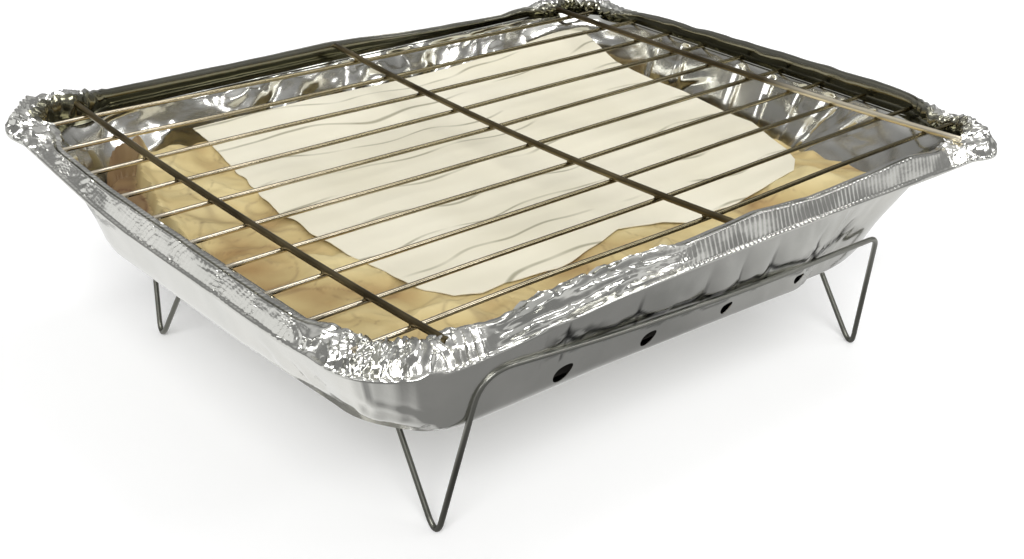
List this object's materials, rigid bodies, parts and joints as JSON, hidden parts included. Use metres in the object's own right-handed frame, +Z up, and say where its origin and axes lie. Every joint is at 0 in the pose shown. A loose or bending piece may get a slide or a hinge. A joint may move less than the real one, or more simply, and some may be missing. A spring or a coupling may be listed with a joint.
{
  "type": "disposable charcoal grill",
  "caption": "Single-use charcoal grill: deep foil tray with vent holes, paper charcoal pack with an ignition sheet, welded wire cooking grid and a bent-wire stand.",
  "frame": {"origin": "on the ground under the centre of the tray, between the four feet", "axes": "+X along the long side and the cooking rods, -Y towards the front long wall, +Z up"},
  "size_m": [0.31, 0.25, 0.095],
  "materials": {
    "foil": "bright crumpled foil, satin where the sheet is flat, with pressed ribs round the lip",
    "grid_wire": "bright drawn steel wire with darker weld spots",
    "stand_wire": "plain drawn steel wire, satin",
    "kraft_paper": "crumpled brown kraft paper, matt",
    "waxed_paper": "cream waxed paper, faint sheen, soft folds",
    "charcoal": "black lump charcoal, matt and porous"
  },
  "bodies": {
    "stand": {"wire_stand": "stand_wire"},
    "tray": {"foil_tray": "foil", "kraft_paper_bag": "kraft_paper", "charcoal_lumps": "charcoal", "ignition_sheet": "waxed_paper"},
    "grid": {"grid_rod_01": "grid_wire", "grid_rod_02": "grid_wire", "grid_rod_03": "grid_wire", "grid_rod_04": "grid_wire", "grid_rod_05": "grid_wire", "grid_rod_06": "grid_wire", "grid_rod_07": "grid_wire", "grid_rod_08": "grid_wire", "grid_rod_09": "grid_wire", "grid_rod_10": "grid_wire", "grid_crossbar_left": "grid_wire", "grid_crossbar_middle": "grid_wire", "grid_crossbar_right": "grid_wire"}
  },
  "joints": [
    {"name": "tray_lift", "type": "slide", "parent": "stand", "child": "tray", "axis": [0, 0, 1], "range_m": [0, 0.12]},
    {"name": "grid_lift", "type": "slide", "parent": "tray", "child": "grid", "axis": [0, 0, 1], "range_m": [0, 0.08]}
  ]
}
